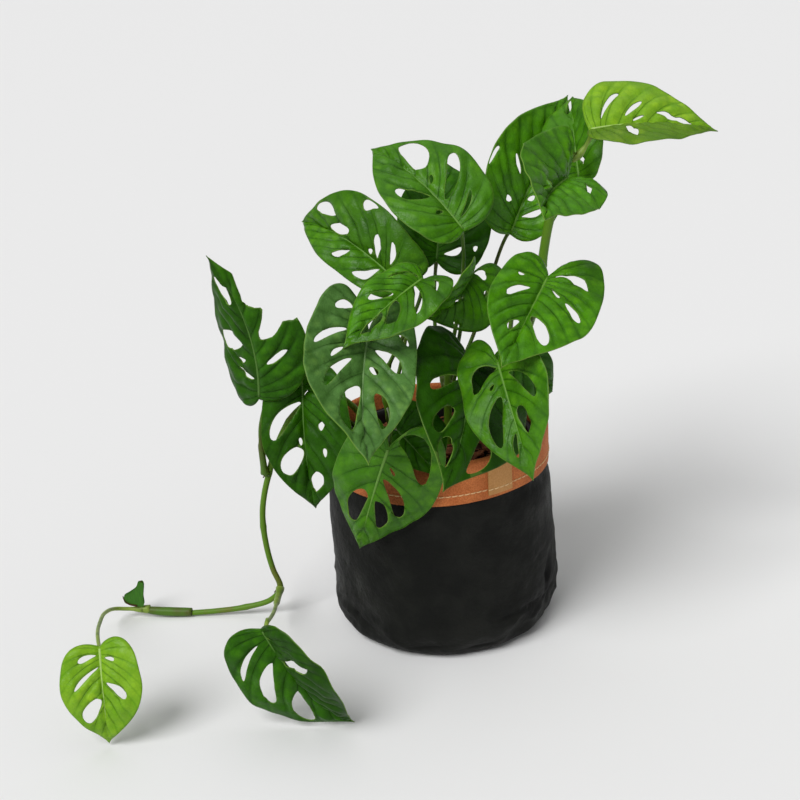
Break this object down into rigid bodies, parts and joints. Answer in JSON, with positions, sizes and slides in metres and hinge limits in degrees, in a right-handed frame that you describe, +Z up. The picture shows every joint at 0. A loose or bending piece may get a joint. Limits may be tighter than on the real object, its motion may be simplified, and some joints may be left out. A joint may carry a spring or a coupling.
{
  "type": "potted trailing house plant",
  "caption": "Swiss cheese plant, monstera adansonii, with holed leaves and a trailing vine, potted in a black planter bag with a folded tan cuff.",
  "frame": {"origin": "centre of the planter bag's flat base, on the surface it stands on", "axes": "+Z up; -Y towards the front, where most of the leaves face; +X to the right seen from the front"},
  "size_m": [0.4498, 0.2667, 0.376],
  "materials": {
    "bag_black": "black washable paper, dull with a faint sheen on the creases",
    "cuff_tan": "tan washable paper, fine speckled grain, matte",
    "label_tan": "lighter tan, smooth, matte, bare",
    "pot_black": "black moulded plastic, satin",
    "soil": "damp peat with bark chips, rough and matte",
    "stem_green": "green living stem, slightly glossy",
    "leaf_green": "mid green leaf, quilted between sunken veins, soft gloss",
    "leaf_dark": "older dark green leaf, soft gloss",
    "leaf_young": "young yellow-green leaf, soft gloss"
  },
  "bodies": {
    "root": {"bag_body": "bag_black", "bag_cuff": "cuff_tan", "cuff_label": "label_tan", "nursery_pot": "pot_black", "potting_soil": "soil", "stem_right": "stem_green", "stem_middle": "stem_green", "stem_left": "stem_green", "trailing_vine": "stem_green", "new_shoot": "leaf_green", "leaf_top_right": "leaf_young", "leaf_top_back": "leaf_green", "leaf_curled_heart": "leaf_green", "leaf_upper_right": "leaf_green", "leaf_upper_middle": "leaf_green", "leaf_upper_left": "leaf_green", "leaf_middle_left": "leaf_green", "leaf_front_left": "leaf_green", "leaf_right_heart": "leaf_green", "leaf_front_right": "leaf_green", "leaf_over_cuff": "leaf_green", "leaf_front_middle": "leaf_dark", "leaf_small_twisted": "leaf_green", "leaf_back_middle": "leaf_dark", "leaf_torn": "leaf_dark", "leaf_low_left": "leaf_dark", "leaf_behind_right": "leaf_green", "leaf_vine_tip": "leaf_young", "leaf_vine_middle": "leaf_dark", "leaf_inner": "leaf_dark"}
  },
  "joints": []
}
